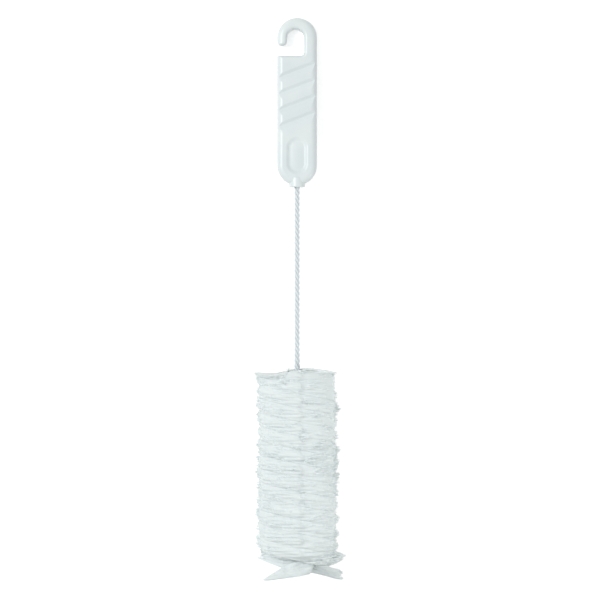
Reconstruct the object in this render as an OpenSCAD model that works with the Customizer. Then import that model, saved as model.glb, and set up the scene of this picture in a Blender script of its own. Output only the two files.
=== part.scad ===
// Twisted-wire bottle brush with a moulded hook handle, lying at rest on a flat surface.
//
// All sizes are in millimetres. The brush is drawn straight first: its axis is the Y axis, the top
// of the hook is at y = 0, the bristles are towards -Y and the front of the handle faces +Z.
// "Depth" below is the distance down the brush from the top of the hook. lay_down() then leans
// the brush until the hook and the lowest bristles touch the floor together.

/* [Handle] */
// Length of the grip, from the top of the hook to its round foot
handle_len = 119; // [100:1:160]
// Width of the grip
handle_w = 28.4; // [24:0.2:36]
// Thickness of the grip
handle_t = 10.4; // [9:0.2:13]
// Rounding of the outer edges
edge_r = 4.5; // [3:0.1:4.8]

/* [Hook] */
// Inner diameter of the eye
eye_d = 12.1; // [10:0.1:15]
// Sideways shift of the eye, which thins the hook towards its tip
eye_shift = 1; // [0:0.1:1.5]
// Depth of the shoulder, where the opening ends and the grip begins
shoulder = 27.2; // [25:0.1:34]
// Gap between the tip of the hook and the shoulder
mouth = 7.2; // [5:0.1:9]
// Radius of the inner corner between the hook and the shoulder
corner_r = 2.8; // [1:0.1:4]
// Rounding of the edges round the opening
eye_edge_r = 2.4; // [1.5:0.1:2.4]

/* [Grip ribs] */
// Number of diagonal grooves on each face
grooves = 4; // [2:1:5]
// Depth of the first groove's valley on the centre line
first_groove = 37.6; // [34:0.1:40]
// Spacing of the grooves down the grip
groove_pitch = 11.6; // [10:0.1:13]
// Slant of the grooves
groove_angle = 21; // [0:1:30]
// How far a valley lies below the face
groove_depth = 1.2; // [0.6:0.1:1.6]
// Width of the steep upper wall of a groove
groove_wall = 2.1; // [0.8:0.1:2.5]
// Width of the arched rib face that climbs out of a groove
groove_ramp = 6; // [4:0.1:7]

/* [Thumb panel] */
// Length of the sunk oval panel
panel_len = 27.4; // [20:0.2:30]
// Width of the sunk oval panel
panel_w = 16.2; // [13:0.2:18]
// Distance from the foot of the grip to the middle of the panel
panel_foot = 20.9; // [20:0.1:26]
// How far the panel is sunk
panel_sink = 1.2; // [0.6:0.1:1.5]
// Width of the panel's curved wall
panel_wall = 3.2; // [1:0.1:4]
// Width of the flat moat round the pillow
moat_w = 0.4; // [0.2:0.1:1.5]
// Rise of the pillow in the middle of the panel
pillow_rise = 0.4; // [0.2:0.1:1]

/* [Neck] */
// Diameter of the neck at its mouth, where the wires enter
neck_d = 11.8; // [9:0.1:13]
// Diameter of the neck at its root, where it grows out of both faces of the grip
neck_root_d = 11.4; // [8:0.1:12]
// Distance from the neck's root to the foot of the grip
neck_root = 7; // [3:0.1:12]
// Length of the slope by which the neck's root rises out of the grip
neck_slope = 1.6; // [0.5:0.1:3]
// How far the neck stands out of the foot of the grip
neck_reach = 1.4; // [0.5:0.1:6]
// Rounding of the neck's lip
neck_lip = 0.8; // [0.3:0.1:1.5]
// Depth of the blind socket, from the neck's mouth
socket_depth = 36; // [20:1:60]
// Clearance on diameter between the twisted wires and their socket
socket_clearance = 0.1; // [0.02:0.01:0.4]

/* [Wires] */
// Diameter of one wire
wire_d = 1.6; // [1:0.1:2.2]
// Bare twisted stem between the neck and the first bristles
stem_len = 129; // [60:1:220]
// Length of one full twist in the bare stem
stem_twist = 15.9; // [12:0.1:24]
// Thickness of the sheet of filaments where the wires clamp it
sheet_t = 0.4; // [0.2:0.05:0.8]
// Clearance between that sheet and the wires on each side
sheet_clearance = 0.03; // [0.01:0.01:0.1]
// Clearance between neighbouring strands of the twist
strand_clearance = 0.04; // [0.01:0.01:0.1]

/* [Bristles] */
// Diameter over the bristle tips
head_d = 59.6; // [40:0.2:90]
// Number of turns of the bristle screw, each of half a wire twist
turns = 14; // [6:1:20]
// Spacing of the turns along the brush
turn_pitch = 9.8; // [8:0.1:14]
// Tufts round half a turn
tufts = 10; // [6:1:12]
// Largest thickness of a tuft, near its tips
tuft_t = 7.6; // [3:0.1:8]
// How much shorter the filaments between two tufts are
tuft_notch = 2.2; // [0.5:0.1:4]
// Unevenness of the tuft tips
raggedness = 0.7; // [0:0.1:1.5]
// Length of wire that the last, loose bundle takes up
end_len = 7; // [5:0.5:12]
// How far the tips of the last bundle droop past the last root
droop = 6.4; // [2:0.1:12]
// How far the last filaments have slipped sideways through the wires
end_slip = 4.8; // [0:0.1:6]

/* [Hidden] */
$fn = 96;

function turn_name(k) = str("bristle_turn_", k < 10 ? "0" : "", k);

WHITE_PLASTIC = [0.88, 0.91, 0.92];
ZINC_WIRE = [0.76, 0.78, 0.80];
WHITE_NYLON = [0.90, 0.93, 0.93];
TURN_TINT = 0.05;

// Handle: the leg of the hook beside the eye sets how much its two edges may be rounded
leg_w = (handle_w - eye_d) / 2 - eye_shift;
outer_r = min(edge_r, 0.42 * handle_t, 0.63 * leg_w);
inner_r = min(eye_edge_r, 0.34 * leg_w);
eye_r = eye_d / 2;
eye_x = -eye_shift;
eye_y = -handle_w / 2;
tip_r = leg_w / 2;
tip_x = -handle_w / 2 + tip_r;
tip_y = -shoulder + mouth + tip_r;
face_z = handle_t / 2;
past = 1;
panel_flare = 2;
WALL_STEPS = 8;

// Stem: the two wires are bent double, so four strands lie round its axis
wire_r = wire_d / 2;
lay_x = widened(wire_r, 6);
stem_r = lay_x * sqrt(2) + wire_r;
neck_mouth = handle_len + neck_reach;
wire_start = neck_mouth - socket_depth + 0.5;
head_start = neck_mouth + stem_len;
head_len = turns * turn_pitch;
head_end = head_start + head_len;
wire_end = head_end + end_len;
opening_len = 6;

// Bristle screw: a left-handed one, so the angle falls with the depth. Past the last turn the
// wires hold less and twist less
START_ANGLE = 180;
END_TWIST = 30;
turn_rate = -180 / turn_pitch;
stem_rate = -360 / stem_twist;
end_rate = -END_TWIST / end_len;
head_r = head_d / 2;
root_r = stem_r + sheet_t / 2 + 0.2;
shoulder_r = 0.86;
RIM_SHARE = 0.35;
steps = 2 * tufts;
last_step = turns * steps;
SEED = 41;
jitter = rands(-raggedness, raggedness, last_step + 1, SEED);

// Rings and sides of the drawn wires, and rings of the last bundle
RING_SIDES = 6;
RINGS_PER_TWIST = 8;
END_STEPS = 4;

// ---------- Direction of the twist ----------

// Angle of the filament sheet at a depth
function twist(depth) =
    depth < head_start ? START_ANGLE + (depth - head_start) * stem_rate :
    depth <= head_end ? START_ANGLE + (depth - head_start) * turn_rate :
    START_ANGLE + head_len * turn_rate + (depth - head_end) * end_rate;

// Direction along the filaments, and square to their sheet
function along(depth) = [cos(twist(depth)), 0, sin(twist(depth))];
function across(depth) = [-sin(twist(depth)), 0, cos(twist(depth))];

function unit(v) = v / norm(v);
function clamp01(v) = max(0, min(1, v));

// ---------- Shapes ----------

// A cap over a ring of an even number of points, as a strip between its first and second half
function cap(first, n) = [
    for (j = [0:n / 2 - 2])
        let (a = first + j, b = first + n - 1 - j)
        each (j == n / 2 - 2 ? [[a, a + 1, b - 1], [a, b - 1, b]] : [[a, a + 1, b], [a + 1, b - 1, b]])
];

function flipped(faces) = [for (f = faces) [f[2], f[1], f[0]]];

// A closed skin over rings that all have the same even number of points
module skin(rings) {
    n = len(rings[0]);
    last = len(rings) - 1;
    sides = [
        for (i = [0:last - 1]) for (j = [0:n - 1])
            let (a = i * n + j, b = i * n + (j + 1) % n, c = a + n, d = b + n)
            each [[a, b, d], [a, d, c]]
    ];
    polyhedron(
        points = [for (ring = rings) each ring],
        faces = concat(flipped(cap(0, n)), sides, cap(last * n, n))
    );
}

// Half of the grip's section, on the side of positive x, with rounded edges
module half_section(half_w, r) {
    translate([0, -face_z]) square([half_w - r, handle_t]);
    translate([0, r - face_z]) square([half_w, handle_t - 2 * r]);
    for (side = [0, 1]) mirror([0, side]) translate([half_w - r, face_z - r])
        intersection() {
            circle(r);
            square(r);
        }
}

// Half of the section of an opening, whose edges round outwards into both faces
module half_opening(reach, r) {
    translate([0, -face_z - past]) square([reach, handle_t + 2 * past]);
    for (side = [0, 1]) mirror([0, side]) difference() {
        translate([0, face_z - r]) square([reach + r, r + past]);
        translate([reach + r, face_z - r]) circle(r);
    }
}

// Drags a section that stands in X and Z down the brush, from a depth over a length
module drag(depth, length) {
    translate([0, -depth, 0]) rotate([90, 0, 0]) linear_extrude(length) children();
}

// The plain round-ended grip before anything is cut
module grip_blank() {
    half_w = handle_w / 2;
    translate([0, -half_w, 0]) rotate_extrude(angle = 180) half_section(half_w, outer_r);
    translate([0, half_w - handle_len, 0]) rotate([0, 0, 180])
        rotate_extrude(angle = 180) half_section(half_w, outer_r);
    drag(half_w, handle_len - handle_w) {
        half_section(half_w, outer_r);
        mirror([1, 0]) half_section(half_w, outer_r);
    }
}

// The opening of the hook: eye, straight sides, mouth and the filleted corner at the shoulder
module hook_opening() {
    wall_x = eye_x + eye_r;
    corner_x = wall_x - corner_r;
    translate([eye_x, eye_y, 0]) rotate_extrude() half_opening(eye_r, inner_r);
    translate([eye_x, 0, 0]) drag(-eye_y, -tip_y + eye_y) {
        half_opening(eye_r, inner_r);
        mirror([1, 0]) half_opening(eye_r, inner_r);
    }
    translate([eye_x, 0, 0]) drag(-eye_y, shoulder - corner_r + eye_y)
        half_opening(eye_r, inner_r);
    translate([corner_x, corner_r - shoulder, 0]) rotate_extrude() half_opening(corner_r, inner_r);
    difference() {
        translate([corner_x, tip_y, 0]) rotate([0, 0, -90]) drag(0, handle_w)
            half_opening(shoulder + tip_y, inner_r);
        translate([tip_x, tip_y, 0]) rotate_extrude() half_section(tip_r, inner_r);
        translate([-handle_w, tip_y, -handle_t]) cube([2 * handle_w, handle_w, 2 * handle_t]);
    }
}

// A groove: a steep wall on its upper side and an arched face that runs out into the grip
module groove() {
    ramp_r = (pow(groove_ramp, 2) + pow(groove_depth, 2)) / (2 * groove_depth);
    rotate([0, 0, groove_angle]) translate([handle_w, 0, 0]) rotate([90, 0, -90])
        linear_extrude(2 * handle_w) difference() {
            polygon([
                [groove_ramp, past],
                [groove_ramp, -groove_depth],
                [0, -groove_depth],
                [-groove_wall, 0],
                [-groove_wall, past]
            ]);
            translate([groove_ramp, -ramp_r]) circle(ramp_r, $fn = 240);
        }
}

// Repeats a round-ended form about the panel's middle: its two ends and the stretch between
module panel_sweep(half_w) {
    reach = panel_len / 2 - panel_w / 2;
    for (turned = [0, 180]) rotate([0, 0, turned]) translate([0, reach, 0])
        rotate_extrude(angle = 180) children();
    translate([0, reach, 0]) rotate([90, 0, 0]) linear_extrude(2 * reach) {
        children();
        mirror([1, 0]) children();
    }
}

// The sunk oval panel, as the space to cut: its wall curves down to a flat moat, and above the
// face the space is flared well clear of the grip's surface
module panel_cut() {
    top = panel_w / 2;
    wall = [
        for (i = [0:WALL_STEPS])
            let (t = i / WALL_STEPS)
            [top - panel_wall * t, panel_sink * (cos(180 * t) - 1) / 2]
    ];
    panel_sweep() polygon(concat([[0, past], [top + panel_flare, past]], wall, [[0, -panel_sink]]));
}

// The pillow that fills the middle of the panel
module pillow() {
    half_w = panel_w / 2 - panel_wall - moat_w;
    dome_r = (pow(half_w, 2) + pow(pillow_rise, 2)) / (2 * pillow_rise);
    root = 0.5;
    panel_sweep() intersection() {
        translate([0, pillow_rise - panel_sink - dome_r]) circle(dome_r, $fn = 240);
        translate([0, -panel_sink - root]) square([half_w + root, pillow_rise + root]);
    }
}

// Places a form on the front face and again on the back one
module on_both_faces() {
    for (side = [0, 1]) mirror([0, 0, side]) translate([0, 0, face_z]) children();
}

// The neck is a slight cone, wider than the grip is thick, with a sloping root and a rounded lip
module neck() {
    length = neck_root + neck_reach;
    translate([0, neck_root - handle_len, 0]) rotate([90, 0, 0]) rotate_extrude() {
        polygon([
            [0, 0],
            [neck_root_d / 2 - neck_slope, 0],
            [neck_root_d / 2, neck_slope],
            [neck_d / 2, length - neck_lip],
            [0, length - neck_lip]
        ]);
        square([neck_d / 2 - neck_lip, length]);
        translate([neck_d / 2 - neck_lip, length - neck_lip]) intersection() {
            circle(neck_lip);
            square(neck_lip);
        }
    }
}

// ---------- Wires ----------

// Least distance between the centre lines of two neighbouring strands, one left and one right of
// the axis. Both lie on the slant of the twist, so they come closer than a square section shows.
function lay_distance(half_x, half_z, lay_length) = min([
    for (rise = [-wire_d:wire_d / 40:wire_d])
        let (turned = 360 * rise / lay_length)
        norm([
            half_x * cos(turned) - half_z * sin(turned) + half_x,
            half_x * sin(turned) + half_z * cos(turned) - half_z,
            rise
        ])
]);

function strand_distance(half_x) = min(
    lay_distance(half_x, half_x, stem_twist),
    lay_distance(half_x, half_x + sheet_t / 2, 2 * turn_pitch)
);

// Half the spacing of the strands, widened in a few tries until they clear each other both in
// the bare stem and between the bristles
function widened(half_x, tries) =
    tries == 0 ? half_x :
    widened(half_x * (wire_d + strand_clearance) / strand_distance(half_x), tries - 1);

// Half the spacing of the wires square to the sheet: it opens where the filaments begin
function lay_z(depth) =
    lay_x + (sheet_t / 2) * clamp01((depth - head_start + opening_len) / opening_len);

// Centre of one leg of a wire: side is left or right of the axis, layer is above or below the sheet
function leg_at(depth, side, layer) =
    [0, -depth, 0] + side * lay_x * along(depth) + layer * lay_z(depth) * across(depth);

// Depths of the rings after a first one: even along each stretch, with a ring at every change
function even(from, to, count) = [for (i = [1:count]) from + (to - from) * i / count];
function rings_in(length, lay_length) = ceil(length / lay_length * RINGS_PER_TWIST);
opening_start = head_start - opening_len;
ring_depths = concat(
    [wire_start],
    even(wire_start, opening_start, rings_in(opening_start - wire_start, stem_twist)),
    even(opening_start, head_start, rings_in(opening_len, stem_twist)),
    even(head_start, head_end, rings_in(head_len, 2 * turn_pitch)),
    even(head_end, wire_end, END_STEPS)
);

// Centre line of a hairpin: down one leg, round the bend at the end of the brush and back
function hairpin(side) = concat(
    [for (depth = ring_depths) leg_at(depth, side, 1)],
    [
        for (turned = [36:36:144])
            [0, -wire_end - lay_z(wire_end) * sin(turned), 0]
            + side * lay_x * along(wire_end)
            + lay_z(wire_end) * cos(turned) * across(wire_end)
    ],
    [for (i = [len(ring_depths) - 1:-1:0]) leg_at(ring_depths[i], side, -1)]
);

// A round wire along a path, with each ring square to the path and turned away from the axis
function wire_ring(path, i) =
    let (
        before = path[max(0, i - 1)],
        after = path[min(len(path) - 1, i + 1)],
        ahead = unit(after - before),
        out = [path[i].x, 0, path[i].z],
        u = unit(out - (out * ahead) * ahead),
        v = cross(ahead, u)
    )
    [
        for (k = [0:RING_SIDES - 1])
            let (a = 360 * k / RING_SIDES)
            path[i] + wire_r * (cos(a) * u + sin(a) * v)
    ];

module wire(side) {
    path = hairpin(side);
    skin([for (i = [0:len(path) - 1]) wire_ring(path, i)]);
}

// ---------- Bristles ----------

// Half the thickness of a tuft across its sheet, where it is thickest
function half_t(step) = (step % 2 == 1 ? 1 : 0.62) * tuft_t / 2;

// Reach of the filaments at a step: long in the middle of a tuft, short between two
function reach_at(step) = head_r - (step % 2 == 1 ? 0 : tuft_notch) - raggedness + jitter[step];

// How far the filaments have slipped along themselves: the last ones have, towards +X
slip_run = turn_pitch / 2;
slip_side = turns % 2 == 0 ? -1 : 1;
function slip(depth) = slip_side * end_slip * clamp01((depth - head_end + slip_run) / slip_run);

// Point on one face of the screw: layer is 1 for one face and -1 for the other
function screw_point(depth, r, thick, layer, sag) =
    let (
        rate = depth <= head_end ? turn_rate : end_rate,
        normal = unit(across(depth) + [0, r * rate * PI / 180, 0])
    )
    [0, -depth - sag, 0] + r * along(depth) + layer * thick * normal;

// Section along the filaments: tip, thickest place and root on both sides of the wires
function bristle_ring(depth, reach, thick, sag = 0) =
    let (
        clamped = sheet_t / 2 - sheet_clearance,
        back = reach - slip(depth),
        ahead = reach + slip(depth),
        profile = [
            [-back, RIM_SHARE * thick],
            [-shoulder_r * back, thick],
            [-root_r, clamped],
            [root_r, clamped],
            [shoulder_r * ahead, thick],
            [ahead, RIM_SHARE * thick]
        ],
        sags = [for (p = profile) sag * pow(abs(p[0]) / head_r, 1.5)]
    )
    concat(
        [for (i = [0:5]) screw_point(depth, profile[i][0], profile[i][1], 1, sags[i])],
        [for (i = [5:-1:0]) screw_point(depth, profile[i][0], profile[i][1], -1, sags[i])]
    );

function turn_ring(step) =
    bristle_ring(head_start + step / steps * turn_pitch, reach_at(step), half_t(step));

function turn_rings(k) = [for (step = [(k - 1) * steps:k * steps]) turn_ring(step)];

// The last bundle starts flush with the last turn and gathers into a drooping point on each side
end_rings = concat(
    [turn_ring(last_step)],
    [
        for (i = [1:END_STEPS])
            let (
                depth = head_end + end_len * i / END_STEPS,
                reach = (head_r - raggedness) * sin(180 * i / (END_STEPS + 1)),
                sag = head_end + end_len + droop - depth
            )
            bristle_ring(depth, reach, half_t(0), sag)
    ]
);

// ---------- How the brush lies ----------

// The hook's lower edge is an arc about this centre, seen from the side as depth and height
heel = [outer_r, outer_r - face_z];

bristle_points = concat(
    [for (step = [0:last_step]) each turn_ring(step)],
    [for (ring = end_rings) each ring]
);

// The lean at which the floor touches the heel and the first bristles that it meets
lean = max([
    for (p = bristle_points)
        let (d = [-p.y, p.z] - heel)
        atan2(-d.y, d.x) - asin(outer_r / norm(d))
]);

function leaned(p) =
    [p.x, p.y * cos(lean) + p.z * sin(lean), p.z * cos(lean) - p.y * sin(lean)];

laid_points = [for (p = bristle_points) leaned(p)];
laid_x = [for (p = laid_points) p.x];
laid_y = [for (p = laid_points) p.y];
floor_z = heel.x * sin(lean) + heel.y * cos(lean) - outer_r;
hook_y = outer_r - heel.x * cos(lean) - heel.y * sin(lean);

// Moves the brush so that the middle of its bounding box's underside is the origin
module lay_down() {
    translate([
        -(min(laid_x) + max(laid_x)) / 2,
        -(min(laid_y) + hook_y) / 2,
        -floor_z
    ])
        rotate([-lean, 0, 0]) children();
}

// ---------- Pieces ----------

// One moulding: grip, hook, ribs, thumb panels and the neck with its blind socket
module handle() {
    color(WHITE_PLASTIC) lay_down() {
        difference() {
            union() {
                grip_blank();
                neck();
            }
            hook_opening();
            on_both_faces() for (i = [0:grooves - 1])
                translate([0, -first_groove - i * groove_pitch, 0]) groove();
            on_both_faces() translate([0, panel_foot - handle_len, 0]) panel_cut();
            translate([0, socket_depth - neck_mouth, 0]) rotate([90, 0, 0])
                cylinder(h = socket_depth + past, r = stem_r + socket_clearance / 2);
        }
        on_both_faces() translate([0, panel_foot - handle_len, 0]) pillow();
    }
}

// Each wire is bent double, and its two legs clamp the filaments between them
module wire_left() {
    color(ZINC_WIRE) lay_down() wire(-1);
}

module wire_right() {
    color(ZINC_WIRE) lay_down() wire(1);
}

// The filaments that half a twist of the wires holds, fanned into two blades of the screw
module bristle_turn(k) {
    color(WHITE_NYLON * (1 - TURN_TINT * (k % 2))) lay_down() skin(turn_rings(k));
}

// The last filaments, which nothing holds up, so their tips droop past the end of the wires
module bristle_end() {
    color(WHITE_NYLON) lay_down() skin(end_rings);
}

handle();
wire_left();
wire_right();
for (k = [1:turns]) bristle_turn(k);
bristle_end();
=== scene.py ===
# %% [markdown]
# # A twisted-wire bottle brush
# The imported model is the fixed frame: a moulded handle, two steel wires bent double and twisted
# together, and the nylon filaments that the twist holds. Everything below is placed by that model
# and in its metres, so nothing has to be fitted by eye. The handle's form is right as it is and
# gets a finish. The wires and the bristles are plain solids there, so finer ones take their place.

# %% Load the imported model
import math

import bpy
import numpy as np
from mathutils import Matrix, Vector


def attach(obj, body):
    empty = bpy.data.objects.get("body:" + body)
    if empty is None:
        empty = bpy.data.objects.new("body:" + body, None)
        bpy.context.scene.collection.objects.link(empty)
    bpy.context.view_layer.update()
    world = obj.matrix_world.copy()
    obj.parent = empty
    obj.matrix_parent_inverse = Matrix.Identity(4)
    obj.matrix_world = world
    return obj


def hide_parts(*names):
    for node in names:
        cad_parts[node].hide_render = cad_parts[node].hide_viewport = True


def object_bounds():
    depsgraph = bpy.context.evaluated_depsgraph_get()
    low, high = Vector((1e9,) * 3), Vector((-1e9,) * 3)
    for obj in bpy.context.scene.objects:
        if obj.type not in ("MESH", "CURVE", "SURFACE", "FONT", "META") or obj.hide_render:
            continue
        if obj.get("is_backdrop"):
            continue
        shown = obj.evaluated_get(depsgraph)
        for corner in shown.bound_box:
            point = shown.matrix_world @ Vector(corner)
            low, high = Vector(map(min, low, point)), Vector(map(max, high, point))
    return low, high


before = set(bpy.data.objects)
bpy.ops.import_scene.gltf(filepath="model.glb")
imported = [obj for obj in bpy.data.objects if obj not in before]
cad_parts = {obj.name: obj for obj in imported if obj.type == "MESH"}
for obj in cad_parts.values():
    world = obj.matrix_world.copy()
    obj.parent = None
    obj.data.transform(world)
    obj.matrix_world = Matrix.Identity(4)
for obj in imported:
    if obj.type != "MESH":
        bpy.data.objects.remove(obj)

scene = bpy.context.scene
cad_low, cad_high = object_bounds()
MM = 0.001
print("nodes:", len(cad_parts), "box in mm:", [round(v / MM, 1) for v in cad_high - cad_low])

# %% [markdown]
# ## How the brush lies
# The brush leans: the end of its hook and its first bristles touch the floor. New strands and
# filaments have to follow that lean exactly. It could be typed in, but it would then go wrong with
# the next change to the model, so it is measured: the two wires wind evenly round the axis, and
# the long direction of their points is the axis itself.

# %% Measure the axis of the brush
def points_of(name):
    """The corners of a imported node, in metres."""
    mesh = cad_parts[name].data
    flat = np.empty(len(mesh.vertices) * 3)
    mesh.vertices.foreach_get("co", flat)
    return flat.reshape(-1, 3)


wire_points = np.concatenate([points_of("wire_left"), points_of("wire_right")])
axis_point = wire_points.mean(axis=0)
axis_up = np.linalg.svd(wire_points - axis_point, full_matrices=False)[2][0]
axis_up *= np.sign(axis_up[1])
front = np.array([0.0, 0.0, 1.0]) - axis_up[2] * axis_up
front /= np.linalg.norm(front)
right = np.cross(axis_up, front)

hook_top = (points_of("handle") @ axis_up).max()
top_point = axis_point + (hook_top - axis_point @ axis_up) * axis_up
lean = math.degrees(math.asin(-axis_up[2]))
print("lean of the brush: %.2f degrees" % lean)

# %% [markdown]
# ## Millimetres along the brush
# On a real brush every size is measured from the handle: so far down the axis, so far across, so
# far in front. Working in those three millimetres is easier than working in the leaning frame. One
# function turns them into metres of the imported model, and the depth is counted from the hook's top.

# %% Place points by the brush's own axis
def placed(x, depth, z):
    """Points in metres from millimetres across, down and in front of the brush's axis."""
    x, depth, z = np.broadcast_arrays(x, depth, z)
    local = np.stack([x, -np.asarray(depth, float), z], axis=-1)
    return top_point + MM * local @ np.stack([right, axis_up, front])


print("top of the hook in mm:", [round(v / MM, 1) for v in placed(0, 0, 0)])

# %% [markdown]
# ## The twist
# A brush like this is made in one stroke: loose filaments lie between the legs of the wires, and
# the wires are twisted until they clamp them. The twist turns the sheet of filaments into a screw
# with two blades. One function gives the angle of that sheet at any depth, and the strands and the
# filaments both follow it, as they do on the real brush. From here on, lengths are in millimetres
# unless a comment says otherwise.

# %% Depths down the brush and the twist at each
NECK_MOUTH = 120.4  # where the wires come out of the handle
SOCKET_END = 85.0  # where they end inside it
STEM_LENGTH = 129.0  # bare stem, down to the first filament
STEM_TWIST = 15.9  # length of a whole turn in the stem
TURNS = 14
TURN_PITCH = 9.8  # length of half a turn in the bristles
END_LENGTH = 7.0  # from the last filament to the bends of the wires
END_TWIST = 30.0  # degrees that the wires turn over that length

head_start = NECK_MOUTH + STEM_LENGTH
head_end = head_start + TURNS * TURN_PITCH
wire_end = head_end + END_LENGTH


def twist(depth):
    """Angle of the filament sheet in radians: 180 degrees at the first filament, left-handed."""
    depth = np.asarray(depth, float)
    stem = (depth - head_start) * -360 / STEM_TWIST
    head = (np.minimum(depth, head_end) - head_start) * -180 / TURN_PITCH
    end = np.maximum(depth - head_end, 0) * -END_TWIST / END_LENGTH
    return np.radians(180 + np.where(depth < head_start, stem, head + end))


print("bristles from %.1f to %.1f mm down" % (head_start, head_end))

# %% [markdown]
# ## Tubes
# Strands and filaments are all round rods along a path. Curve objects with a bevel would do for
# the two wires, but thousands of filaments are quicker as one mesh for each turn of the screw. So
# one helper makes a mesh from rings of corners, and a second puts such rings round many paths at
# once. Every tube is closed at both ends.

# %% A helper that makes a mesh from rings
FLAT_SIDES = 4


def skin(name, rings):
    """One mesh of closed skins over rings of corners: skins x rings x corners x 3, in metres."""
    skins, count, sides, _ = rings.shape
    body, ring, side = np.meshgrid(
        np.arange(skins), np.arange(count - 1), np.arange(sides), indexing="ij"
    )
    here = (body * count + ring) * sides
    beside = (side + 1) % sides
    walls = np.stack([here + side, here + beside, here + sides + beside, here + sides + side], -1)
    walls = walls.reshape(-1, 4)
    starts = np.arange(skins)[:, None] * count * sides
    caps = np.concatenate([
        starts + np.arange(sides)[::-1],
        starts + (count - 1) * sides + np.arange(sides),
    ])

    mesh = bpy.data.meshes.new(name)
    mesh.vertices.add(rings.size // 3)
    mesh.vertices.foreach_set("co", rings.ravel())
    mesh.loops.add(walls.size + caps.size)
    mesh.loops.foreach_set("vertex_index", np.concatenate([walls.ravel(), caps.ravel()]))
    mesh.polygons.add(len(walls) + len(caps))
    loop_starts = np.concatenate([
        4 * np.arange(len(walls)), walls.size + sides * np.arange(len(caps))
    ])
    mesh.polygons.foreach_set("loop_start", loop_starts)
    smooth = np.concatenate([np.full(len(walls), sides > FLAT_SIDES), np.zeros(len(caps), bool)])
    mesh.polygons.foreach_set("use_smooth", smooth)
    mesh.update(calc_edges=True)
    mesh.validate()
    piece = bpy.data.objects.new(name, mesh)
    scene.collection.objects.link(piece)
    return piece


def triangles(piece):
    return sum(len(face.vertices) - 2 for face in piece.data.polygons)


# %% A helper that makes tubes round paths
def unit(vectors):
    return vectors / np.linalg.norm(vectors, axis=-1, keepdims=True)


def make_tubes(name, paths, radius, sides, outward):
    """Closed tubes in one mesh: paths is tubes x points x 3, a first corner stands outward."""
    ahead = unit(np.gradient(paths, axis=1))
    first = unit(outward - (outward * ahead).sum(-1, keepdims=True) * ahead)
    second = np.cross(ahead, first)
    turn = 2 * np.pi * np.arange(sides) / sides
    round_it = (
        np.cos(turn)[:, None] * first[:, :, None, :] + np.sin(turn)[:, None] * second[:, :, None, :]
    )
    return skin(name, paths[:, :, None, :] + np.asarray(radius)[..., None, None] * round_it)

# %% [markdown]
# ## The wires
# Each wire is bent double, so four strands show in the stem: two legs of the left wire and two of
# the right one. A twisted extrusion would flatten the strands where they slant, because its
# section stays level. Here each section stands square to its own path, so the strands stay round
# and touch along their sides, with the fine dark line between them that a twisted stem has.

# %% Measure the stem
WIRE_D = 1.6
SHEET_T = 0.4  # thickness of the sheet of filaments that the wires clamp
OPENING_LENGTH = 6.0  # over which the legs open to take it in

from_axis = wire_points - axis_point
from_axis -= np.outer(from_axis @ axis_up, axis_up)
depth_of_points = (top_point - wire_points) @ axis_up / MM
in_stem = depth_of_points < head_start - OPENING_LENGTH
stem_r = np.linalg.norm(from_axis[in_stem], axis=1).max() / MM
strand_x = (stem_r - WIRE_D / 2) / math.sqrt(2)
print("radius of the twisted stem: %.2f mm" % stem_r)

# %% Wind the two wires
WIRE_SIDES = 16
RINGS_PER_MM = 1.6
BEND_STEPS = 12
NUDGE = 1e-6  # gives a point that lies on the axis an outward side too


def strand(depth, side, layer):
    """A leg of a wire: side is left or right of the sheet's middle, layer is above or below it."""
    opened = np.clip((depth - head_start + OPENING_LENGTH) / OPENING_LENGTH, 0, 1)
    out = side * strand_x
    up = layer * (strand_x + SHEET_T / 2 * opened)
    c, s = np.cos(twist(depth)), np.sin(twist(depth))
    return np.stack([out * c - up * s, depth, out * s + up * c], -1)


def wind(name, side):
    """A hairpin of wire: down one leg, round the bend at the end of the brush, and back up."""
    depths = np.linspace(SOCKET_END, wire_end, int((wire_end - SOCKET_END) * RINGS_PER_MM))
    down = strand(depths, side, 1)
    back = strand(depths, side, -1)[::-1]
    middle = (down[-1] + back[0]) / 2
    across = down[-1] - middle
    bend = [
        middle + across * math.cos(a) + np.array([0, np.linalg.norm(across) * math.sin(a), 0])
        for a in np.linspace(0, math.pi, BEND_STEPS + 1)[1:-1]
    ]
    path = np.concatenate([down, bend, back])
    outward = path * [1, 0, 1] + [NUDGE, 0, 0]
    return make_tubes(
        name, placed(*path.T)[None], np.full((1, len(path)), WIRE_D / 2 * MM), WIRE_SIDES,
        (placed(*outward.T) - placed(0, 0, 0))[None]
    )


wires = {}
for side, node in ((-1, "wire_left"), (1, "wire_right")):
    wires[node] = wind("wound_" + node, side)
    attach(wires[node], "root")
    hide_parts(node)
    print(wires[node].name, triangles(wires[node]), "triangles")

# %% [markdown]
# ## The bristles
# Each filament is one piece: it runs from a tip on one side, through the clamp of the wires, to a
# tip on the other side. Particle hair could make them, but it would not export as solid geometry,
# so each is a thin tube. The trimmed tips end at almost one radius, but the head is no plain
# cylinder. Its upper and lower edges aren't level, the tips are swept towards the handle, most of
# all on the left, and the last filaments have slid sideways and fall back. These are the first
# things to settle, because every filament obeys them.

# %% The shape of the head
HEAD_R = 29.8  # radius of the trimmed tips
# The upper edge of the bristles: across and down, in mm
TOP_X = [-29, -25, -19, -13, -6, 0, 12, 29]
TOP_DEPTH = [251.6, 252.6, 253.2, 252.8, 249.6, 249.2, 250.0, 251.8]
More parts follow.
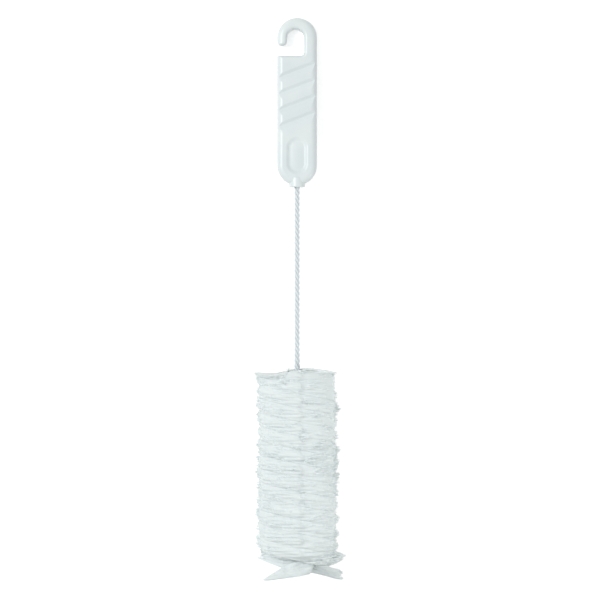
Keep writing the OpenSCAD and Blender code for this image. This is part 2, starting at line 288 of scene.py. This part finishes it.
# Their lower edge, which falls from both sides to the middle
BOTTOM_X = [-29, -24, -18, -11, 0, 12, 23, 29, 34]
BOTTOM_DEPTH = [382.5, 384.4, 386.5, 388, 391, 391, 389.4, 386.5, 384]
END_SLIP = 4.8  # how far the last filaments slid sideways
SLIP_RUN = TURN_PITCH / 2  # depth over which that grows
TIP_SWEEP = 3.4  # how much nearer the handle a tip is than its root
SWEEP_LEFT = 0.6  # share by which that is more on the left and less on the right
SWEEP_RUN = 15.0  # depth over which it grows
END_ROUND = 7.5  # how far the front and the back fall back at the end of the head
END_LEAN = 0.9  # share by which that is more on the right and less on the left
END_RUN = 13.0  # depth over which it grows
END_MOST = 1.3  # how far past its full size the growth may go


def slip(depth):
    """How far the last filaments have slid sideways through the clamp, in mm, towards +X."""
    return END_SLIP * np.clip((depth - head_end + SLIP_RUN) / SLIP_RUN, 0, 1)


def sweep(depth, angle):
    """How far a tip stands nearer the handle than its root, in mm."""
    growth = np.clip((depth - head_start) / SWEEP_RUN, 0, 1)
    return TIP_SWEEP * growth * (1 - SWEEP_LEFT * np.cos(angle))


def rounded_off(depth, angle):
    """How far the front and the back of the last turns fall back towards the fans, in mm."""
    growth = np.clip((depth - head_end) / END_RUN + 1, 0, END_MOST) ** 2
    return END_ROUND * (1 + END_LEAN * np.cos(angle)) * np.sin(angle) ** 2 * growth


print("tips swept by %.1f mm on the left and %.1f mm on the right"
      % (sweep(head_end, math.pi), sweep(head_end, 0)))

# %% [markdown]
# ## Locks
# Real filaments don't stand evenly. They cling together in pointed locks and they bow. On this
# brush they also part along the middle of the front and of the back, and a few of the first locks
# on the right are shorter. A random place for every single filament would give an even fuzz. So the
# locks are planned first, with the golden ratio to spread them without a pattern, and every
# filament then follows one of them.

# %% Plan the locks
LOCKS_PER_TURN = 120  # on each side of the wires
LOCK_STRAY_ROUND = math.radians(7)
LOCK_STRAY_ALONG = 0.5
LOCK_SHORT = 2.0  # how far inside the radius of the tips a lock may end
LOCK_LONG = 0.8  # and how far outside it
LOCK_BOW = 0.5  # how far a lock bends up or down on its way out
LOBE_SHORT = 0.55  # how much shorter a lock is for each mm that it strays from the ridge
RIDGE_STRAY = 0.6  # how unevenly the ridge itself reaches out
PART_AT = math.radians(-3)  # the parting stands a little off the middle
PART_TURN = 0.5  # radians that a lock turns away from it at most
PART_EDGE = 12.0  # how sharply the locks divide there
END_LOCKS = 1.3  # how much more than the pack the last locks fall back
# How much shorter the first locks on the right are, by the depth of their roots, in mm
NICK_DEPTH = [251, 258, 266, 272]
NICK = [0.0, 3.4, 1.2, 0.0]
NICK_FACING = 0.5  # only locks that point this much to the right are shortened
GOLDEN = (math.sqrt(5) - 1) / 2
LOCK_SEED = 41

rng = np.random.default_rng(LOCK_SEED)
lock_number = np.arange(TURNS * LOCKS_PER_TURN)
lock_count = len(lock_number)
lock_root = head_start + (lock_number + 0.5) / LOCKS_PER_TURN * TURN_PITCH
ridge_depths = np.linspace(head_start, head_end, 2 * TURNS)
ridge_reach = {side: rng.normal(0, RIDGE_STRAY, 2 * TURNS) for side in (-1, 1)}


def parted(angle):
    """Turns a direction away from the parting at the front or the back, to one of the sides."""
    from_part = angle - PART_AT
    return angle - PART_TURN * np.tanh(PART_EDGE * np.cos(from_part)) * np.sin(from_part)


def plan_locks(side):
    """The locks of one side: direction and reach of the tip, how far it strays, sweep and bow."""
    angle = parted(twist(lock_root) + rng.normal(0, LOCK_STRAY_ROUND, lock_count))
    facing = angle + (math.pi if side < 0 else 0)
    stray = (lock_number * GOLDEN % 1 - 0.5) * TURN_PITCH
    stray += rng.normal(0, LOCK_STRAY_ALONG, lock_count)
    reach = HEAD_R + rng.uniform(-LOCK_SHORT, LOCK_LONG, lock_count) - LOBE_SHORT * np.abs(stray)
    reach += np.interp(lock_root, ridge_depths, ridge_reach[side])
    reach += np.sign(np.cos(facing)) * slip(lock_root)
    reach -= END_LOCKS * rounded_off(lock_root, facing)
    reach -= np.interp(lock_root, NICK_DEPTH, NICK) * (np.cos(facing) > NICK_FACING)
    bow = rng.normal(0, LOCK_BOW, lock_count)
    return np.stack([angle, reach, stray, sweep(lock_root, facing), bow])


locks = {side: plan_locks(side) for side in (-1, 1)}
print("locks in the head:", 2 * lock_count)

# %% [markdown]
# ## From root to tip
# A lock is drawn as one pointed body, and the filaments that follow it fray its edges. Both bend
# the same way: straight out of the clamp, then more and more towards the place of the tip. The
# powers of t say how late each of these bends comes, where t is 0 at the root and 1 at the tip.

# %% A helper that bends locks and filaments
TURN_LATE = 3
STRAY_EARLY = 0.6
SWEEP_LATE = 2.5
EDGE_UNEVEN = 2.0  # keeps the locks at an edge of the head from ending on one line


def bent(depth, side, angle, reach, stray, swept, bow, knots):
    """Half filaments from their roots to their tips: knots of x, depth and z in mm."""
    t = knots[:, None]
    now = twist(depth) + (angle - twist(depth)) * t ** TURN_LATE
    r = side * reach * t
    x, z = r * np.cos(now), r * np.sin(now)
    down = depth + stray * t ** STRAY_EARLY - swept * t ** SWEEP_LATE
    down += bow * np.sin(math.pi * t) * t
    uneven = EDGE_UNEVEN * np.abs(bow) * t ** 2
    down = np.maximum(down, np.interp(x, TOP_X, TOP_DEPTH) + uneven)
    down = np.minimum(down, np.interp(x, BOTTOM_X, BOTTOM_DEPTH) - uneven)
    return np.stack([x, down, z], -1).transpose(1, 0, 2)


def above_floor(path, radius):
    """The path in metres. Where a tube of this radius would go into the floor, it lies on it."""
    path_m = placed(path[..., 0], path[..., 1], path[..., 2])
    path_m[..., 2] = np.maximum(path_m[..., 2], radius * MM)
    return path_m

# %% A helper for the bodies of the locks
LOCK_KNOTS = np.array([0.6, 0.7, 0.8, 0.9, 1.0])  # shares of the way out from the wires
LOCK_R = np.array([0.7, 0.7, 0.6, 0.38, 0.1])  # the body's radius at each
LOCK_SIDES = 5


def lock_mesh(name, k):
    """The pointed bodies of one turn's locks."""
    some = slice(k * LOCKS_PER_TURN, (k + 1) * LOCKS_PER_TURN)
    paths = above_floor(np.concatenate([
        bent(lock_root[some], side, *locks[side][:, some], LOCK_KNOTS) for side in (-1, 1)
    ]), LOCK_R)
    outward = np.broadcast_to(axis_up, paths.shape)
    radius = np.broadcast_to(LOCK_R * MM, paths.shape[:2])
    return make_tubes(name, paths, radius, LOCK_SIDES, outward)

# %% [markdown]
# ## Single filaments
# A filament of such a brush is about as thick as a strong fishing line. Each one is given to the
# lock that stands nearest to its root, or to a neighbour of it, and strays a little from it. One in
# five strays three times as far, which gives the head its few loose hairs.

# %% Helpers for single filaments
FILAMENT_D = 0.30
FILAMENT_SIDES = 3
FILAMENT_STRAY_ROUND = math.radians(3)
FILAMENT_STRAY_ALONG = 0.5
FILAMENT_UNEVEN = 0.4  # in its reach and its bow
LOCKS_MIXED = 2  # how many locks away a filament may join, as a spread
WILD = 3.0  # how much more a loose hair strays
WILD_SHARE = 0.2  # share of loose hairs
KNOTS = np.array([0.0, 0.12, 0.45, 0.65, 0.83, 1.0])  # shares of the way out from the wires


def half_paths(depth, side):
    """The halves of the head's filaments at these root depths on one side."""
    count = len(depth)
    place = (depth - head_start) / TURN_PITCH * LOCKS_PER_TURN + rng.normal(0, LOCKS_MIXED, count)
    lock = np.clip(place.astype(int), 0, lock_count - 1)
    angle, reach, stray, swept, bow = locks[side][:, lock]
    wild = rng.choice([1.0, WILD], count, p=[1 - WILD_SHARE, WILD_SHARE])
    angle = angle + wild * rng.normal(0, FILAMENT_STRAY_ROUND, count)
    stray = stray + lock_root[lock] - depth + wild * rng.normal(0, FILAMENT_STRAY_ALONG, count)
    reach = reach + rng.normal(0, FILAMENT_UNEVEN, count)
    bow = bow + rng.normal(0, FILAMENT_UNEVEN, count)
    return bent(depth, side, angle, reach, stray, swept, bow, KNOTS)


def filament_mesh(name, path):
    """A mesh of thin tubes along these paths in mm."""
    path_m = above_floor(path, FILAMENT_D / 2)
    radius = np.full(path_m.shape[:2], FILAMENT_D / 2 * MM)
    return make_tubes(name, path_m, radius, FILAMENT_SIDES, np.broadcast_to(axis_up, path_m.shape))

# %% [markdown]
# ## The dense inside
# Nylon lets light through, so a thick pack of it glows white all the way in. Opaque tubes can't do
# that: light is lost between them and the pack would turn as dark as the pile of velvet. So below
# the tips, where single filaments can't be told apart any more, one closed body stands for the
# whole pack. It has the form of the screw, with a ridge along each blade and a shallow valley
# between two blades. The parting shows on it as a seam: the filaments of the left side lap over
# those of the right. Soft streaks show where filaments lie side by side.

# %% The skin of the pack
PACK_HALF_WIDE = 27.0
PACK_HALF_HIGH = 24.8
PACK_SQUARE = 2.5  # 2 gives an ellipse, and more gives squarer shoulders
SEAM_LEFT = 0.28  # share of the radius over which the seam climbs from the left
SEAM_RIGHT = 0.08  # and over which it drops to the right
SEAM_WAVE = math.radians(7)  # how far it moves sideways within a turn
STREAK_LONG = 7.0  # round the brush
STREAK_WIDE = 0.5  # along the brush
STREAK_WAVES = 16
STREAK_SEED = 7


def pack_radius(angle):
    """The pack's radius in each direction: an oval with square shoulders."""
    wide = np.abs(np.cos(angle)) / PACK_HALF_WIDE
    high = np.abs(np.sin(angle)) / PACK_HALF_HIGH
    return (wide ** PACK_SQUARE + high ** PACK_SQUARE) ** (-1 / PACK_SQUARE)


def seam(angle, from_ridge):
    """Height of the seam, from 0 to 1: a slow climb from the left and a steep drop to the right."""
    beside = np.cos(angle - PART_AT - SEAM_WAVE * (from_ridge - 0.5))
    width = np.where(beside < 0, SEAM_LEFT, SEAM_RIGHT)
    return (1 - from_ridge / 2) * np.exp(-(beside / width) ** 2)


def streaks(angle, depth):
    """A sum of waves that are long round the brush and narrow along it, from -2 to 2."""
    waves = np.random.default_rng(STREAK_SEED)
    total = np.zeros(np.broadcast(angle, depth).shape)
    for _ in range(STREAK_WAVES):
        times_round = round(HEAD_R / STREAK_LONG * waves.normal())
        per_mm = waves.normal() / STREAK_WIDE
        total += np.cos(times_round * angle + per_mm * depth + waves.uniform(0, 2 * math.pi))
    return total / math.sqrt(STREAK_WAVES)


print("the pack's radius from %.1f to %.1f mm" % (PACK_HALF_HIGH, pack_radius(math.pi / 4)))

# %% Build the pack
VALLEY = 0.7  # depth of the valley between two turns
SEAM_HIGH = 2.1
STREAK_HIGH = 0.5
PACK_INNER = 2.6  # radius at which the pack closes round the wires
PACK_STEPS = 90 * TURNS
PACK_ROWS = 21
INNER_ROW = 0.95  # where the inner edge's rows lie, as a share of half a turn
BELOW_EDGE = 0.6  # how far below the head's upper edge the pack begins
LAST_DROP = 4.5  # how far the pack goes on past the last turn in the middle
LAST_RISE = 0.33  # and how much less for each mm to the side
TOP_ROUND = 4.0  # rounding of its upper edge
END_ROUND_SIDE = 3.0  # rounding of its lower edge at the sides
END_ROUND_FRONT = 7.0  # how much more that is at the front and the back
END_ROUND_RUN = 8.0  # depth over which it grows


def pack_mesh(name):
    """The closed pack of the head: two blades, each with a rim and an inner edge."""
    across = np.concatenate([np.linspace(-1, 1, PACK_ROWS), [INNER_ROW, -INNER_ROW]])[None, :]
    ridge = np.linspace(head_start, head_end, PACK_STEPS + 1)[:, None] + 0 * across
    blades = []
    for angle in (twist(ridge), twist(ridge) + math.pi):
        depth = ridge - sweep(ridge, angle) + across * TURN_PITCH / 2
        r = pack_radius(angle) - VALLEY * (1 - np.cos(math.pi * across)) / 2
        r += SEAM_HIGH * seam(angle, np.abs(across))
        r += STREAK_HIGH * streaks(angle, depth) + np.cos(angle) * slip(depth)
        r -= rounded_off(depth, angle)
        highest = np.interp(r * np.cos(angle), TOP_X, TOP_DEPTH) + BELOW_EDGE
        lowest = head_end + LAST_DROP - LAST_RISE * np.abs(r * np.cos(angle))
        depth = np.clip(depth, highest, lowest)
        end_round = END_ROUND_SIDE + END_ROUND_FRONT * np.sin(angle) ** 4
        r -= TOP_ROUND * np.clip(1 - (depth - highest) / TOP_ROUND, 0, 1) ** 2
        r -= end_round * np.clip(1 - (lowest - depth) / END_ROUND_RUN, 0, 1) ** 2
        r[:, PACK_ROWS:] = PACK_INNER
        blades.append(placed(r * np.cos(angle), depth, r * np.sin(angle)))
    return skin(name, np.stack(blades))


pack_pieces = [pack_mesh("head_pack")]
print("the pack:", triangles(pack_pieces[0]), "triangles")

# %% [markdown]
# ## Turn by turn
# The pack is one piece, because it runs through the whole head. The locks and filaments over it are
# made turn by turn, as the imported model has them, so that each turn's filaments can stand for that
# turn's solid. A filament's two halves meet in the clamp, where the point that both have is kept
# once.

# %% Build the locks and filaments of every turn
FILAMENTS_PER_TURN = 360

filament_pieces, lock_pieces = [], []
for k in range(TURNS):
    number = "%02d" % (k + 1)
    share = np.arange(FILAMENTS_PER_TURN) + rng.uniform(0, 1, FILAMENTS_PER_TURN)
    depth = head_start + (k + share / FILAMENTS_PER_TURN) * TURN_PITCH
    minus, plus = half_paths(depth, -1), half_paths(depth, 1)
    turn = filament_mesh("filaments_" + number, np.concatenate([minus[:, :0:-1], plus], axis=1))
    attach(turn, "root")
    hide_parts("bristle_turn_" + number)
    filament_pieces.append(turn)
    lock_pieces.append(lock_mesh("locks_" + number, k))
print(TURNS, "turns, each with", FILAMENTS_PER_TURN, "filaments of", triangles(turn),
      "triangles and locks of", triangles(lock_pieces[0]))

# %% [markdown]
# ## The loose last bundle
# Past the last turn nothing presses on the filaments from below. They have slid sideways, they
# droop, and they gather in four flat fans, which gives the end of the brush its crossed shape. The
# two on the left lie in front of the wires and hide their ends. A flat sheet would look like paper
# from the side, so each fan is made as the head is: a closed body inside and filaments over it,
# which gather in locks and fray past its end.

# %% Helpers for the bodies of the fans
FAN_THICK = 2.4  # half the thickness in the middle of its length
FAN_ROOT = 0.1  # it swells and thins along a half wave, from this share of the wave
FAN_TIP = 0.97  # to this one
FAN_SIDES = 16
FAN_STATIONS = 24
FAN_FILLED = 0.92  # share of the fan's width and thickness that its body fills
FAN_BODY_END = 0.88  # share of the fan's length at which its body ends
FAN_NOSE = 0.98  # how far the body narrows there: at 1 it would end in a point
FAN_BLUNT = 8  # how late it narrows
FAN_RIDGES = 7
FAN_RIDGE_HIGH = 0.12  # as a share of half the thickness
# Each fan from its root to its tips: across, upper edge, lower edge and front, all in mm
FANS = {
    "fan_upper_left": [
        (8, 376, 378, 10), (-2, 378, 390, 12.5), (-10, 376, 389.4, 13), (-20, 377.6, 386, 11),
        (-28.2, 381.9, 382.2, 8)
    ],
    "fan_lower_left": [
        (15, 380, 382, 6), (9, 383, 394, 12), (0, 384, 395.4, 14.5), (-9, 388, 396.4, 14),
        (-17, 393.2, 397.7, 11), (-24, 398.2, 398.8, 8)
    ],
    "fan_upper_right": [
        (-7, 378, 380, 0), (2, 380, 391, -3), (12, 380, 391, -7), (21, 380, 388.4, -12),
        (28, 380.8, 386.6, -16), (35, 383.7, 384.5, -20)
    ],
    "fan_lower_right": [
        (-7, 380, 382, 0), (2, 382, 393.6, -2), (10, 385, 394.6, -6), (22, 391.8, 398.2, -13),
        (29, 393.8, 400.6, -17), (33.4, 395.8, 401.6, -20)
    ],
}


def fan_stations(knots, s):
    """Middle, half width and half thickness of a fan at shares s of its length, in mm."""
    x, upper, lower, z = np.array(knots, float).T
    along = np.linspace(0, 1, len(x))
    x, upper, lower, z = [np.interp(s, along, v) for v in (x, upper, lower, z)]
    thick = FAN_THICK * np.sin(math.pi * (FAN_ROOT + (FAN_TIP - FAN_ROOT) * s))
    return x, (upper + lower) / 2, (lower - upper) / 2, z, thick


def fan_mesh(name, knots):
    """The closed body of a fan, with shallow ridges and a blunt nose."""
    station = np.linspace(0, 1, FAN_STATIONS)[:, None]
    x, middle, half, z, thick = fan_stations(knots, FAN_BODY_END * station)
    half = FAN_FILLED * half * np.sqrt(1 - (FAN_NOSE * station) ** FAN_BLUNT)
    outward = np.sign(x[0] - x[-1])  # a fan to the right runs round the other way, to face outward
    turn = outward * 2 * np.pi * np.arange(FAN_SIDES) / FAN_SIDES
    ridges = FAN_FILLED + FAN_RIDGE_HIGH * np.cos(FAN_RIDGES * turn)
    across, down = x + 0 * turn, middle + half * np.cos(turn)
    return skin(name, placed(across, down, z + thick * ridges * np.sin(turn))[None])

# %% A helper for the filaments over a fan
FAN_FILAMENTS = 420
FAN_LOCKS = 11
FAN_KNOTS = 6
FAN_REACH = 1.02  # length of the longest lock, as a share of the fan's
FAN_SHORT = 0.2  # how much shorter the shortest one is
FAN_UNEVEN = 0.1  # how much the filaments of one lock differ
FAN_STRAY_ROUND = 0.3  # in radians
FAN_STRAY_DOWN = 0.3  # in mm, at the tips
FAN_PROUD = (0.1, 0.7)  # how high the filaments lie above the body, in mm


def fan_filaments(knots):
    """Filaments that lie over a fan: knots of x, depth and z in mm."""
    lock = rng.integers(0, FAN_LOCKS, FAN_FILAMENTS)
    lock_length = FAN_REACH - FAN_SHORT * rng.uniform(0, 1, FAN_LOCKS)
    length = lock_length[lock] - FAN_UNEVEN * rng.uniform(0, 1, FAN_FILAMENTS)
    s = np.linspace(0, 1, FAN_KNOTS)[None, :] * length[:, None]
    x, middle, half, z, thick = fan_stations(knots, s)
    middle_of_lock = (lock + 0.5) / FAN_LOCKS * 2 * math.pi
    round_it = (middle_of_lock + rng.normal(0, FAN_STRAY_ROUND, FAN_FILAMENTS))[:, None]
    round_it = round_it + (middle_of_lock[:, None] - round_it) * s ** 2
    stray = rng.normal(0, FAN_STRAY_DOWN, (FAN_FILAMENTS, 1)) * s ** 2
    down = middle + half * np.cos(round_it) + stray
    proud = rng.uniform(*FAN_PROUD, (FAN_FILAMENTS, 1))
    return np.stack([x, down, z + (thick + proud) * np.sin(round_it)], -1)


# %% Build the last bundle
last_paths = np.concatenate([fan_filaments(knots) for knots in FANS.values()])
last_bundle = filament_mesh("filaments_end", last_paths)
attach(last_bundle, "root")
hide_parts("bristle_end")
filament_pieces.append(last_bundle)
pack_pieces += [fan_mesh(name, knots) for name, knots in FANS.items()]
print("last bundle:", len(last_paths), "filaments of", triangles(last_bundle), "triangles over",
      len(FANS), "fans of", triangles(pack_pieces[-1]))

# %% [markdown]
# ## What the new pieces belong to
# Nothing on this brush moves, so every piece rides on the one body, root. The filaments already
# stand for the imported model's solids. The locks, the pack and the fans only fill them out.

for piece in lock_pieces + pack_pieces:
    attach(piece, "root")
print(len(lock_pieces + pack_pieces), "pieces fill the bristles")

# %% [markdown]
# ## Colours and nodes
# Colours are easiest to read and compare as sRGB hex values, but the shader works in linear light,
# so one function turns them over. One more adds a node with its settings and its links, which
# keeps each finish below readable from top to bottom.

# %% Helpers for the finishes
def linear(hex_colour):
    """An sRGB hex colour such as "DCE6E7" as a linear RGBA value."""
    channels = [int(hex_colour[i:i + 2], 16) / 255 for i in (0, 2, 4)]
    return [c / 12.92 if c <= 0.04045 else ((c + 0.055) / 1.055) ** 2.4 for c in channels] + [1.0]


def add(owner, kind, inputs, **settings):
    """Adds a node. A value in inputs is set on its socket, a socket in inputs is linked to it."""
    tree = owner.node_tree
    node = tree.nodes.new("ShaderNode" + kind)
    for name, value in settings.items():
        setattr(node, name, value)
    for name, value in inputs.items():
        if isinstance(value, bpy.types.NodeSocket):
            tree.links.new(value, node.inputs[name])
        else:
            node.inputs[name].default_value = value
    return node


def new_material(name):
    material = bpy.data.materials.new(name)
    material.use_nodes = True
    material.node_tree.nodes.clear()
    return material


def dress(pieces, material):
    """Gives each piece one material in place of those it has."""
    for piece in pieces:
        piece.data.materials.clear()
        piece.data.materials.append(material)
    print(material.name, "on", len(pieces), "pieces")


# %% [markdown]
# ## Moulded polypropylene
# The handle is white polypropylene, moulded in a polished steel tool. It is glossy but a little
# waxy: light goes a short way in and comes out again, which softens the shade in the grooves. The
# face is not quite flat: the tool's polish leaves a faint ripple some 4 mm long. A painted texture
# could carry it, but noise in the handle's own millimetres keeps its scale on every side and needs
# no unwrapping.

# %% Polypropylene of the handle
RIPPLE_LONG = 4.0
RIPPLE_HIGH = 0.02
CLOUD_LONG = 18.0  # size of the faint clouds in its white
LIGHT_DEPTH = 1.2  # how far light goes in

polypropylene = new_material("polypropylene_moulded_white")
position = add(polypropylene, "TexCoord", {}).outputs["Object"]
ripple = add(polypropylene, "TexNoise", {
    "Vector": position, "Scale": 1 / (RIPPLE_LONG * MM), "Detail": 1.0
})
clouds = add(polypropylene, "TexNoise", {
    "Vector": position, "Scale": 1 / (CLOUD_LONG * MM), "Detail": 2.0
})
tint = add(polypropylene, "MapRange", {
    "Value": clouds.outputs["Fac"], "From Min": 0.35, "From Max": 0.65
})
base = add(polypropylene, "Mix", {
    "Factor": tint.outputs["Result"], "A": linear("DDE6E7"), "B": linear("E2EAEA")
}, data_type="RGBA")
ripple_bump = add(polypropylene, "Bump", {
    "Height": ripple.outputs["Fac"], "Strength": 0.25, "Distance": RIPPLE_HIGH * MM
})
shader = add(polypropylene, "BsdfPrincipled", {
    "Base Color": base.outputs["Result"],
    "Roughness": 0.3,
    "IOR": 1.49,
    "Subsurface Weight": 0.06,
    "Subsurface Radius": (1.0, 1.0, 1.0),
    "Subsurface Scale": LIGHT_DEPTH * MM,
    "Normal": ripple_bump.outputs["Normal"]
})
add(polypropylene, "OutputMaterial", {"Surface": shader.outputs["BSDF"]})
dress([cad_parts["handle"]], polypropylene)

# %% [markdown]
# ## Galvanised wire
# The wires are drawn steel with a zinc coat. In air the zinc grows a thin, pale bloom of oxide that
# dulls it in patches a few mm long. So the wire is a soft light grey, part bare metal and part
# matt, and not a mirror. Drawing also leaves scratches along the wire, but they are far too fine to
# show on a strand this thin, so only the patches are made.

# %% Zinc of the wires
PATCH_LONG = 2.5

zinc = new_material("zinc_coated_drawn_steel")
position = add(zinc, "TexCoord", {}).outputs["Object"]
coat = add(zinc, "TexNoise", {"Vector": position, "Scale": 1 / (PATCH_LONG * MM), "Detail": 3.0})
rough = add(zinc, "MapRange", {
    "Value": coat.outputs["Fac"], "From Min": 0.3, "From Max": 0.7, "To Min": 0.7, "To Max": 0.85
})
bare = add(zinc, "MapRange", {
    "Value": coat.outputs["Fac"], "From Min": 0.3, "From Max": 0.7, "To Min": 0.3, "To Max": 0.6
})
shade = add(zinc, "Mix", {
    "Factor": coat.outputs["Fac"], "A": linear("D4DBDE"), "B": linear("E2E7E9")
}, data_type="RGBA")
shader = add(zinc, "BsdfPrincipled", {
    "Base Color": shade.outputs["Result"], "Metallic": bare.outputs["Result"],
    "Roughness": rough.outputs["Result"]
})
add(zinc, "OutputMaterial", {"Surface": shader.outputs["BSDF"]})
dress(list(wires.values()), zinc)

# %% [markdown]
# ## Nylon filaments
# The filaments are extruded nylon, white and a little translucent, so the mass of them is bright
# even in its own shade. Letting light through each filament would be nearest to the real thing,
# but light would have to pass through thousands of them. A pale, half glossy surface over the white
# pack looks the same and costs little. No two filaments catch the light alike, so each gets its own
# slight tint.

# %% Nylon of the filaments
nylon = new_material("nylon_filament_white")
own = add(nylon, "NewGeometry", {}).outputs["Random Per Island"]
tint = add(nylon, "Mix", {
    "Factor": own, "A": linear("E8F0F0"), "B": linear("F1F6F6")
}, data_type="RGBA")
shader = add(nylon, "BsdfPrincipled", {
    "Base Color": tint.outputs["Result"], "Roughness": 0.42, "IOR": 1.53
})
add(nylon, "OutputMaterial", {"Surface": shader.outputs["BSDF"]})
dress(filament_pieces + lock_pieces, nylon)

# %% [markdown]
# ## Packed nylon
# The pack is the same nylon, seen as a mass: filaments side by side, with grooves between them.
# Real grooves are as fine as one filament. Here they are drawn 0.5 mm wide and 6 mm long, so that
# they show, and they run across the brush as the filaments do. Painted shade: the colour is darker
# in the grooves, and the whole pack is darker than the filaments that lie over it.

# %% Nylon of the pack
GROOVE_LONG = 6.0
GROOVE_WIDE = 0.5
GROOVE_DEEP = 0.5

shaded_pack_nylon = new_material("nylon_pack_painted_shade")
position = add(shaded_pack_nylon, "TexCoord", {}).outputs["Object"]
lying = add(shaded_pack_nylon, "Mapping", {
    "Vector": position, "Scale": (1, GROOVE_LONG / GROOVE_WIDE, 1)
})
groove = add(shaded_pack_nylon, "TexNoise", {
    "Vector": lying.outputs["Vector"], "Scale": 1 / (GROOVE_LONG * MM), "Detail": 3.0
})
# Painted shade: darker in the grooves and lighter on the ridges, and darker than the filaments' nylon
shade = add(shaded_pack_nylon, "Mix", {
    "Factor": groove.outputs["Fac"], "A": linear("D9E2E2"), "B": linear("E9F0F0")
}, data_type="RGBA")
groove_bump = add(shaded_pack_nylon, "Bump", {
    "Height": groove.outputs["Fac"], "Strength": 0.6, "Distance": GROOVE_DEEP * MM
})
shader = add(shaded_pack_nylon, "BsdfPrincipled", {
    "Base Color": shade.outputs["Result"], "Roughness": 0.55, "IOR": 1.53,
    "Normal": groove_bump.outputs["Normal"]
})
add(shaded_pack_nylon, "OutputMaterial", {"Surface": shader.outputs["BSDF"]})
dress(pack_pieces, shaded_pack_nylon)

# %% [markdown]
# ## The stage
# A pale floor carries the brush and its soft shadow. One bright white world would be simpler, but
# it would also light the brush from all sides and wash out its shades. So the floor and the air
# behind it are white only to the camera and in reflections, and the light that they give the brush
# stays at a plain level.

# %% The floor
FLOOR_HALF = 3.0  # metres
FLOOR_GLOW = 0.5

corners = [(-1, -1), (1, -1), (1, 1), (-1, 1)]
floor_mesh = bpy.data.meshes.new("floor")
floor_mesh.from_pydata(
    [(FLOOR_HALF * x, FLOOR_HALF * y, 0) for x, y in corners], [], [(0, 1, 2, 3)]
)
floor = bpy.data.objects.new("floor", floor_mesh)
scene.collection.objects.link(floor)
floor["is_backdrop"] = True

paper = new_material("white_paper_floor")
rays = add(paper, "LightPath", {}).outputs
seen = add(paper, "Math", {0: rays["Is Camera Ray"], 1: rays["Is Glossy Ray"]}, operation="MAXIMUM")
matt = add(paper, "BsdfDiffuse", {"Color": linear("F0F0F0")})
unlit = add(paper, "Emission", {"Color": (0, 0, 0, 1), "Strength": 0.0})
glow = add(paper, "Emission", {"Color": (1, 1, 1, 1), "Strength": FLOOR_GLOW})
lift = add(paper, "MixShader", {0: seen.outputs["Value"], 1: unlit.outputs[0], 2: glow.outputs[0]})
both = add(paper, "AddShader", {0: matt.outputs[0], 1: lift.outputs[0]})
add(paper, "OutputMaterial", {"Surface": both.outputs[0]})
dress([floor], paper)

# %% The air
AIR_LIGHT = 0.54  # share of the light of a white sky

world = bpy.data.worlds.new("white_studio")
scene.world = world
world.use_nodes = True
world.node_tree.nodes.clear()
rays = add(world, "LightPath", {}).outputs
seen = add(world, "Math", {0: rays["Is Camera Ray"], 1: rays["Is Glossy Ray"]}, operation="MAXIMUM")
strength = add(world, "MapRange", {
    "Value": seen.outputs["Value"], "To Min": AIR_LIGHT, "To Max": 1.0
})
air = add(world, "Background", {"Color": (1, 1, 1, 1), "Strength": strength.outputs["Result"]})
add(world, "OutputWorld", {"Surface": air.outputs[0]})
print("light of the air:", AIR_LIGHT)

# %% [markdown]
# ## Light
# One large soft lamp stands to the upper left and shades the handle's right edges. A bigger lamp
# would leave no shade to show its ribs, and a smaller one would make hard shadows. A second, small
# and weak one stands close to the bristles on the right, so that their far side isn't too dark.

# %% The lamps
def add_lamp(name, place, aim, size, watts):
    data = bpy.data.lights.new(name, "AREA")
    data.shape = "DISK"
    data.size = size
    data.energy = watts
    lamp = bpy.data.objects.new(name, data)
    scene.collection.objects.link(lamp)
    lamp.location = place
    lamp.rotation_euler = (Vector(aim) - Vector(place)).to_track_quat("-Z", "Y").to_euler()
    print(name, "of", watts, "W,", round(size / MM), "mm across")


add_lamp("key_lamp", place=(-1.1, 0.55, 1.5), aim=(0, 0, 0.03), size=1.0, watts=18.8)
add_lamp("fill_lamp", place=(0.3, -0.12, 0.2), aim=(0, -0.12, 0.03), size=0.16, watts=0.3)

# %% [markdown]
# ## Camera
# The brush is seen straight on, square to its axis, with the hook at the top. A short lens close by
# would make the near bristles look too large, so a long lens stands far away.

# %% The camera
LENS = 135
SENSOR = 36
FARTHEST = 20  # metres
VIEW_WIDTH = 426.3  # what the view spans at the brush's axis
VIEW_X = 2.1  # the view's middle, across
VIEW_DEPTH = 200.4  # and down

distance = VIEW_WIDTH * MM / 2 / (SENSOR / 2 / LENS)
target = placed(VIEW_X, VIEW_DEPTH, 0)
camera_data = bpy.data.cameras.new("camera")
camera_data.lens = LENS
camera_data.sensor_width = SENSOR
camera_data.clip_end = FARTHEST
camera = bpy.data.objects.new("camera", camera_data)
scene.collection.objects.link(camera)
axes = Matrix((Vector(right), Vector(axis_up), Vector(front))).transposed().to_4x4()
camera.matrix_world = Matrix.Translation(Vector(target + distance * front)) @ axes
scene.camera = camera
scene.view_settings.view_transform = "Standard"
print("camera stands %.2f m away" % distance)

# %% [markdown]
# ## Finish
# How far each corner of the visual model's box lies from the imported model's box is printed. The
# visual model has to stay in the imported model's box. Bristles may stand a little proud of it.

# %% Compare the boxes and finish
low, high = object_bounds()
for label, corner, cad_corner in (("low", low, cad_low), ("high", high, cad_high)):
    moved = [round((a - b) / MM, 2) for a, b in zip(corner, cad_corner)]
    print(label, "corner moved in mm:", moved)
